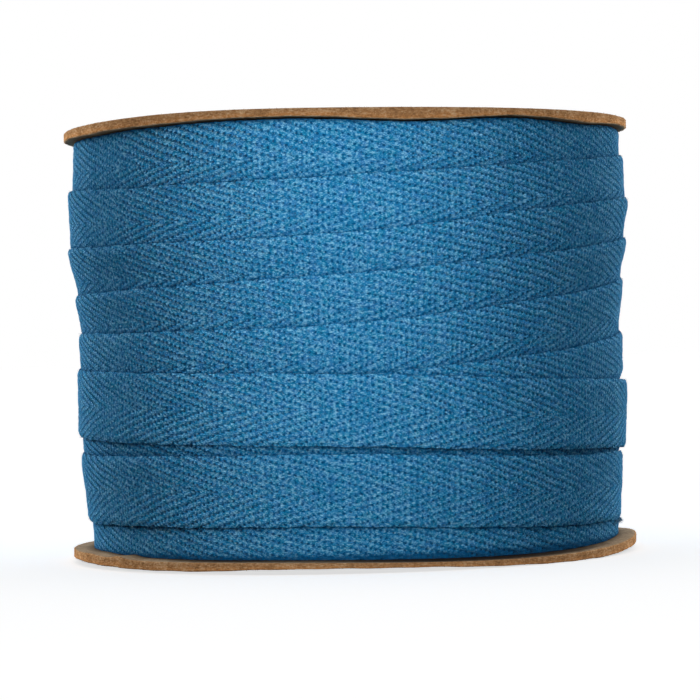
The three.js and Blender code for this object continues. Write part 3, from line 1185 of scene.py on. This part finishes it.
def make_kraft():
    """The punched kraft board."""
    material, start = new_material("kraft_board")
    place = start.node("ShaderNodeTexCoord", None, None, OBJECT_PLACE)
    crumb, fleck, mottle = (start.node("ShaderNodeTexNoise", None, {"Vector": place, **sizes})
                            for sizes in (CRUMB, FLECK, MOTTLE))
    round_rim = start.mesh_value("round_rim") * STREAKS_ROUND
    spot = round_rim.spot(start.mesh_value("down") * STREAKS_DOWN)
    streak = start.node("ShaderNodeTexNoise", {"noise_dimensions": "2D"}, {"Vector": spot, **STREAK})
    height = crumb * BUMP_CRUMB + fleck * BUMP_FLECK + streak * BUMP_STREAK
    bump = start.node("ShaderNodeBump", None, {"Strength": 1.0, "Distance": MM, "Height": height})
    shader = start.node("ShaderNodeBsdfPrincipled", None,
                        {"Base Color": board_colour(crumb, fleck, mottle, streak), "Normal": bump,
                         "Roughness": KRAFT_ROUGHNESS, "Specular IOR Level": KRAFT_SHINE})
    start.node("ShaderNodeOutputMaterial", None, {"Surface": shader})
    return material


kraft = make_kraft()
for piece in (disc_bottom, disc_top, torn_bottom, torn_top):
    piece.data.materials.append(kraft)
print("kraft nodes", len(kraft.node_tree.nodes))

# %% [markdown]
# ## Joining the pieces to the frame
#
# Every piece rides on the reel's one body, and the part of the frame that it stands for is hidden.

# %% Ride and replace
cloth_pieces = turn_pieces + [older_layers, fuzz, frayed]
kraft_pieces = [disc_bottom, torn_bottom, disc_top, torn_top]
for piece in cloth_pieces:
    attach(piece, "root")
    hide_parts("winding")
for piece, node in zip(kraft_pieces, ("flange_bottom", "flange_bottom", "flange_top", "flange_top")):
    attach(piece, "root")
    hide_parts(node)
print(len(cloth_pieces), "pieces of cloth and", len(kraft_pieces), "of board ride on the reel")

# %% [markdown]
# ## The floor
#
# The reel stands on a white sweep that is lost in a white background. A plain white floor comes out grey in
# soft light. More light would wash the cloth out, so what the camera sees of the floor is brighter than real
# and has a glow of its own, and the reel gets back only what a plain floor would throw. The floor lies at the
# lowest point of the drooping rim.

# %% Floor
WHITE = (1, 1, 1, 1)
FLOOR_SIZE = 12.0
FLOOR_TO_CAMERA = (2.95, 2.95, 2.95, 1.0)
FLOOR_GLOW = 0.7
FLOOR_TO_REEL = (0.3, 0.3, 0.3, 1.0)


def make_sweep():
    """The white floor, as the camera sees it and as the reel does."""
    material, start = new_material("white_sweep")
    seen = start.node("ShaderNodeLightPath")
    matt = start.node("ShaderNodeBsdfDiffuse", None, {"Color": seen.mixed(FLOOR_TO_REEL, FLOOR_TO_CAMERA)})
    glow = start.node("ShaderNodeEmission", None, {"Color": WHITE, "Strength": 1.0})
    both = start.node("ShaderNodeMixShader", None, {0: seen * FLOOR_GLOW, 1: matt, 2: glow})
    start.node("ShaderNodeOutputMaterial", None, {"Surface": both})
    return material


half = FLOOR_SIZE / 2
floor_mesh = bpy.data.meshes.new("floor")
floor_corners = [(-half, -half, 0), (half, -half, 0), (half, half, 0), (-half, half, 0)]
floor_mesh.from_pydata(floor_corners, [], [(0, 1, 2, 3)])
floor_mesh.materials.append(make_sweep())
floor = bpy.data.objects.new("floor", floor_mesh)
floor.location.z = lowest_rim * MM
bpy.context.scene.collection.objects.link(floor)
print("the floor lies at", round(lowest_rim, 2), "mm")

# %% [markdown]
# ## The light
#
# One big softbox would light cloth, board and floor alike, and the picture needs each at its own strength. So
# a light may name the pieces that it falls on. A sun as wide as a ceiling stands above and behind the reel,
# falls on everything and draws the soft shadow. A narrow strip close to the front falls on the cotton alone,
# so the front is brightest and the flanks fall away. A low wide softbox in front falls on the boards alone. A
# softbox behind each side, and a weak one further round, brighten the edges of the cloth and the back of the
# reel.

# %% The sky
SKY_STRENGTH = 0.06

scene = bpy.context.scene
scene.view_settings.view_transform = "Standard"
sky = bpy.data.worlds.new("studio")
scene.world = sky
sky.use_nodes = True
sky.node_tree.nodes.clear()
sky_start = Wire(sky.node_tree)
seen = sky_start.node("ShaderNodeLightPath")
sky_light = sky_start.node("ShaderNodeBackground", None,
                           {"Color": WHITE, "Strength": seen * (1.0 - SKY_STRENGTH) + SKY_STRENGTH})
sky_start.node("ShaderNodeOutputWorld", None, {"Surface": sky_light})
print("the sky lights the reel at", SKY_STRENGTH, "and shows to the camera as white")

# %% Pieces for the lights to fall on
cotton_pieces = bpy.data.collections.new("cotton_pieces")
board_pieces = bpy.data.collections.new("board_pieces")
reel_pieces = bpy.data.collections.new("reel_pieces")
for piece in cloth_pieces:
    cotton_pieces.objects.link(piece)
    reel_pieces.objects.link(piece)
for piece in kraft_pieces:
    board_pieces.objects.link(piece)
    reel_pieces.objects.link(piece)

# %% Lights
REEL_MIDDLE = (0, 0, 0.05)
TOP_STRENGTH = 1.0
TOP_SPREAD = 120
TOP_PLACE = (0, 0.9, 2)
KEY_POWER = 0.245
KEY_SIZE = (0.03, 0.16)
KEY_PLACE = (-0.003, -0.17, 0.08)
BOARD_POWER = 1.65
BOARD_SIZE = (0.9, 0.2)
BOARD_PLACE = (0.0, -0.45, 0.12)
SIDE_POWER = {-1: 5.8, 1: 5.0}
SIDE_ANGLE = 131
BACK_POWER = {-1: 0.3, 1: 0.3}
BACK_ANGLE = 164
SIDE_SIZE = (0.3, 0.26)
SIDE_DISTANCE = 0.6
SIDE_HEIGHT = 0.15


def add_light(name, kind, place, aim, **settings):
    """A light at a place, turned to what it aims at."""
    data = bpy.data.lights.new(name, kind)
    for setting, value in settings.items():
        setattr(data, setting, value)
    light = bpy.data.objects.new(name, data)
    scene.collection.objects.link(light)
    light.rotation_mode = "QUATERNION"
    light.rotation_quaternion = (Vector(aim) - Vector(place)).normalized().to_track_quat("-Z", "Y")
    light.location = place
    return light


def add_softbox(name, place, power, size, receivers):
    """A softbox turned to the reel, which falls on some pieces only."""
    light = add_light(name, "AREA", place, REEL_MIDDLE, energy=power, shape="RECTANGLE", size=size[0],
                      size_y=size[1])
    light.light_linking.receiver_collection = receivers
    return light


add_light("top", "SUN", TOP_PLACE, (0, 0, 0), energy=TOP_STRENGTH, angle=math.radians(TOP_SPREAD))
key = add_softbox("key", KEY_PLACE, KEY_POWER, KEY_SIZE, cotton_pieces)
key.visible_camera = False
board_light = add_softbox("board_light", BOARD_PLACE, BOARD_POWER, BOARD_SIZE, board_pieces)
board_light.visible_camera = False
for name, angle, powers in (("side", SIDE_ANGLE, SIDE_POWER), ("back", BACK_ANGLE, BACK_POWER)):
    for side, power in powers.items():
        turned = math.radians(angle)
        place = (side * SIDE_DISTANCE * math.sin(turned), -SIDE_DISTANCE * math.cos(turned), SIDE_HEIGHT)
        light = add_softbox(f"{name}_{side}", place, power, SIDE_SIZE, reel_pieces)
        light.visible_glossy = name == "back"
print(len(bpy.data.lights), "lights")
